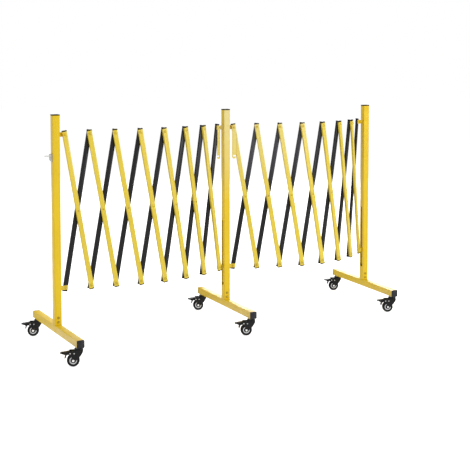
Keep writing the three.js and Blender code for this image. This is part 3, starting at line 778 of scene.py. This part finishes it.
for section in SECTIONS:
    for colour in COLOURS:
        for unit in range(1, UNITS + 1):
            body = f"{section}_bar_{colour}_{unit}"
            place = bar_frame(section, colour, unit)
            is_front = colour == "yellow"
            bar_plugs(body, place, -BAR["layer"] if is_front else BAR["layer"])
            bar_rivets(body, place, crossing_seats() if is_front else end_seats(section, unit))


# Studs of the lugs and sliders: a head in front of the pivot's middle and one behind it.

def stud(name, body, where, ahead, seat, back):
    heads = bmesh.new()
    rivet_head(heads, ahead, where + ahead * seat)
    rivet_head(heads, -ahead, where - ahead * back)
    finish_piece(name, heads, [YELLOW_ZINC], IN_PLACE, body)


def lug_stud(name, body, section, seat):
    stud(name, body, top_pivot(section, 0), front_of(section, 1), seat, SEAT["behind"])


def slider_stud(name, section, seat, back):
    stud(f"stud_{name}", name, pivot(f"{name}_pivot"), front_of(section, UNITS), seat, back)


lug_stud("stud_left_outer", "left_stand", "left", SEAT["plain"])
lug_stud("stud_right_inner", "centre_stand", "right", SEAT["right_latch"])
slider_stud("slider_left_inner", "left", SEAT["plain"], SEAT["behind"])
slider_stud("slider_right_outer", "right", SEAT["ahead"], SEAT["inner"])


# Posts: foot bolts on the front face.

def foot_bolts(stand):
    bolts = bmesh.new()
    for rise in FOOT_BOLT_RISES:
        spot = Vector((0, -POST["side"] / 2, BASE["top"] + rise))
        hex_bolt(bolts, toward(FRONT, spot), FOOT_BOLT)
    place = stand_frame(stand)
    finish_piece(f"foot_bolts_{stand}", bolts, [YELLOW_ZINC], place, f"{stand}_stand")


for stand in STANDS:
    foot_bolts(stand)


# Casters: wheel with its tyre and hub, fork, pedal and the heads of the bolts.

def tyre_profile():
    """Profile from one side of the rim over the tread to the other side."""
    half = WHEEL["width"] / 2
    side = [(WHEEL["rim"], half - WHEEL["tyre_foot"])]
    side += [(WHEEL["radius"] - drop, half - inset) for drop, inset in SHOULDER]
    mirrored = [(radius, -height) for radius, height in side]
    return mirrored + [(WHEEL["radius"], 0)] + side[::-1]


def hub_side(mesh, flip):
    """One side of the hub: black rim, raised pale ring and black core."""
    steps = TURN_STEPS["hub"]
    half = WHEEL["width"] / 2
    ring, core = WHEEL["ring"], WHEEL["core"]
    groove, ring_top, core_top = half - HUB["groove"], half - HUB["ring_top"], half - HUB["core_top"]
    rim_profile = [
        (WHEEL["rim"], half - HUB["rim_foot"]),
        (WHEEL["rim"], half - HUB["rim_top"]),
        (ring, groove),
    ]
    ring_profile = [
        (ring, groove),
        (ring - HUB["ring_slope"], ring_top),
        (core + HUB["ring_slope"], ring_top),
        (core, groove),
    ]
    core_profile = [
        (core, groove),
        (core - HUB["core_slope"], core_top),
        (WHEEL["bore"], core_top),
    ]
    lathe(mesh, rim_profile, flip, steps, 0)
    lathe(mesh, ring_profile, flip, steps, 1)
    lathe(mesh, core_profile, flip, steps, 0)


def wheel_pieces(label):
    spin = toward(axis(f"roll_{label}"), pivot(f"roll_{label}"))
    tyre = bmesh.new()
    lathe(tyre, tyre_profile(), IN_PLACE, TURN_STEPS["tyre"])
    rubber = finish_piece(f"tyre_{label}", tyre, [RUBBER], spin, f"caster_wheel_{label}")
    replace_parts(rubber, f"caster_wheel_{label}")

    hub = bmesh.new()
    for side in SIDES:
        hub_side(hub, Matrix.Scale(side, 4, UP))
    end = WHEEL["width"] / 2 - HUB["core_top"]
    lathe(hub, [(WHEEL["bore"], -end), (WHEEL["bore"], end)], IN_PLACE, TURN_STEPS["hub"])
    body = f"caster_wheel_{label}"
    finish_piece(f"hub_{label}", hub, [PLASTIC, GREY_PLASTIC], spin, body)


def crosspin(mesh, pin):
    """Round pin in both plates of the fork, as far in as the piece that it carries."""
    inner, outer = pin["inner"], FORK["half_width"] - FORK["plate"] / 2
    profile = [(0, inner), (pin["radius"], inner), (pin["radius"], outer), (0, outer)]
    for side in SIDES:
        turn = toward(Vector((0, side, 0)), Vector((pin["x"], 0, pin["z"])))
        lathe(mesh, profile, turn, TURN_STEPS["pin"])


def fork_piece(label, place):
    """Bearing cup, crown and two plates that narrow to the axle."""
    mesh = bmesh.new()
    lathe(mesh, scaled(FORK_CUP), IN_PLACE, TURN_STEPS["cup"])
    half_plate = FORK["plate"] / 2
    for side in SIDES:
        offset = Matrix.Translation((0, side * (FORK["half_width"] - half_plate), 0))
        prism(mesh, scaled(FORK_LEG), half_plate, offset, FORK["plate_round"])
    low, high = FORK["crown_bottom"], FORK["crown_top"]
    front, rear = FORK["crown_front"], FORK["crown_rear"]
    size = (rear - front, 2 * (FORK["half_width"] - FORK["plate"]), high - low)
    middle = Matrix.Translation(((front + rear) / 2, 0, (low + high) / 2))
    rounded_box(mesh, size, middle, FORK["crown_round"])
    crosspin(mesh, AXLE_PIN)
    crosspin(mesh, PEDAL_PIN)
    body = f"caster_fork_{label}"
    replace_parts(finish_piece(f"fork_{label}", mesh, [PLASTIC], place, body), body)


def pedal_piece(label, place):
    """Foot pedal: a flat toe with grip ribs, and the release prong under it."""
    mesh = bmesh.new()
    prism(mesh, scaled(PEDAL_SIDE), PEDAL["half_width"], IN_PLACE, PEDAL["round"])
    rib = (GRIP["length"], 2 * (PEDAL["half_width"] - GRIP["inset"]), GRIP["height"])
    for x in GRIP["places"]:
        rounded_box(mesh, rib, Matrix.Translation((x, 0, GRIP["middle"])), GRIP["round"])
    body = f"brake_pedal_{label}"
    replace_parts(finish_piece(f"pedal_{label}", mesh, [PLASTIC], place, body), body)


def caster_heads(label, place):
    """Axle nuts, and the rivet heads of the pedal's pin and of its stop."""
    heads = bmesh.new()
    axle, pin = pivot(f"roll_{label}"), pivot(f"brake_{label}")
    stop = place @ Vector((STOP_HEAD["x"], 0, STOP_HEAD["z"]))
    for side in SIDES:
        outward = axis(f"roll_{label}") * side
        plate = outward * FORK["half_width"]
        hex_bolt(heads, toward(outward, axle + plate), AXLE_NUT)
        pin_seat = pin + outward * (FORK["half_width"] + PIN_HEAD["gap"])
        dome(heads, toward(outward, pin_seat), PIN_HEAD["radius"], PIN_HEAD["height"], 1)
        dome(heads, toward(outward, stop + plate), STOP_HEAD["radius"], STOP_HEAD["height"], 1)
    steels = [BRIGHT_STEEL, STEEL]
    body = f"caster_fork_{label}"
    finish_piece(f"caster_bolts_{label}", heads, steels, IN_PLACE, body)


for stand in STANDS:
    for end in ENDS:
        label = f"{stand}_{end}"
        place = caster_frame(stand, end)
        wheel_pieces(label)
        fork_piece(label, place)
        caster_heads(label, place)
        pedal_piece(label, place)


# Floor, world, lamps and camera.

def seen_directly(tree):
    """1 for camera, glossy and transmission rays, 0 for the rays that light the object."""
    path = tree.nodes.new("ShaderNodeLightPath")
    total = path.outputs["Is Camera Ray"]
    for kind in ("Is Glossy Ray", "Is Transmission Ray"):
        larger = tree.nodes.new("ShaderNodeMath")
        larger.operation = "MAXIMUM"
        tree.links.new(total, larger.inputs[0])
        tree.links.new(path.outputs[kind], larger.inputs[1])
        total = larger.outputs[0]
    return total


def blended(tree, lit, seen, output):
    """One shader where light falls on the object, another where a surface is seen."""
    blend = tree.nodes.new("ShaderNodeMixShader")
    tree.links.new(seen_directly(tree), blend.inputs["Fac"])
    tree.links.new(lit, blend.inputs[1])
    tree.links.new(seen, blend.inputs[2])
    tree.links.new(blend.outputs["Shader"], output.inputs["Surface"])


def floor_material():
    material = bpy.data.materials.new("floor_white")
    material.use_nodes = True
    tree = material.node_tree
    tree.nodes.clear()
    output = tree.nodes.new("ShaderNodeOutputMaterial")
    surface = tree.nodes.new("ShaderNodeBsdfDiffuse")
    surface.inputs["Color"].default_value = FLOOR["colour"]
    glow = tree.nodes.new("ShaderNodeEmission")
    glow.inputs["Color"].default_value = WHITE
    glow.inputs["Strength"].default_value = FLOOR["glow"]
    add = tree.nodes.new("ShaderNodeAddShader")
    tree.links.new(surface.outputs["BSDF"], add.inputs[0])
    tree.links.new(glow.outputs["Emission"], add.inputs[1])
    blended(tree, surface.outputs["BSDF"], add.outputs["Shader"], output)
    return material


def backdrop():
    bpy.ops.mesh.primitive_plane_add(size=FLOOR["size"], location=(0, 0, 0))
    floor = bpy.context.object
    floor.name = "floor"
    floor.data.materials.append(floor_material())


def world_background(tree, strength):
    background = tree.nodes.new("ShaderNodeBackground")
    background.inputs["Color"].default_value = WHITE
    background.inputs["Strength"].default_value = strength
    return background.outputs["Background"]


def soft_world():
    world = bpy.data.worlds.new("studio")
    bpy.context.scene.world = world
    world.use_nodes = True
    tree = world.node_tree
    tree.nodes.clear()
    output = tree.nodes.new("ShaderNodeOutputWorld")
    blended(tree, world_background(tree, WORLD_LIGHT), world_background(tree, 1.0), output)


def area_light(name, place, target, size, power):
    data = bpy.data.lights.new(name, "AREA")
    data.shape = "DISK"
    data.size = size
    data.energy = power
    light = bpy.data.objects.new(name, data)
    light.location = place
    light.rotation_euler = (Vector(target) - Vector(place)).to_track_quat("-Z", "Y").to_euler()
    bpy.context.collection.objects.link(light)


def camera():
    post = stand_frame("centre").translation
    data = bpy.data.cameras.new("camera")
    data.sensor_width = CAMERA["sensor"]
    data.lens = CAMERA["sensor"] * CAMERA["focal_share"]
    data.shift_y = CAMERA["drop_share"]
    data.clip_end = CAMERA["clip_end"]
    eye = bpy.data.objects.new("camera", data)
    x, y, z = CAMERA["from_post"]
    eye.location = (post.x + x, post.y + y, z)
    eye.rotation_euler = (math.radians(CAMERA["pitch"]), 0, math.radians(CAMERA["yaw"]))
    bpy.context.collection.objects.link(eye)
    bpy.context.scene.camera = eye


backdrop()
soft_world()
for name, lamp in LIGHTS.items():
    area_light(name, **lamp)
camera()
bpy.context.scene.view_settings.view_transform = "Standard"
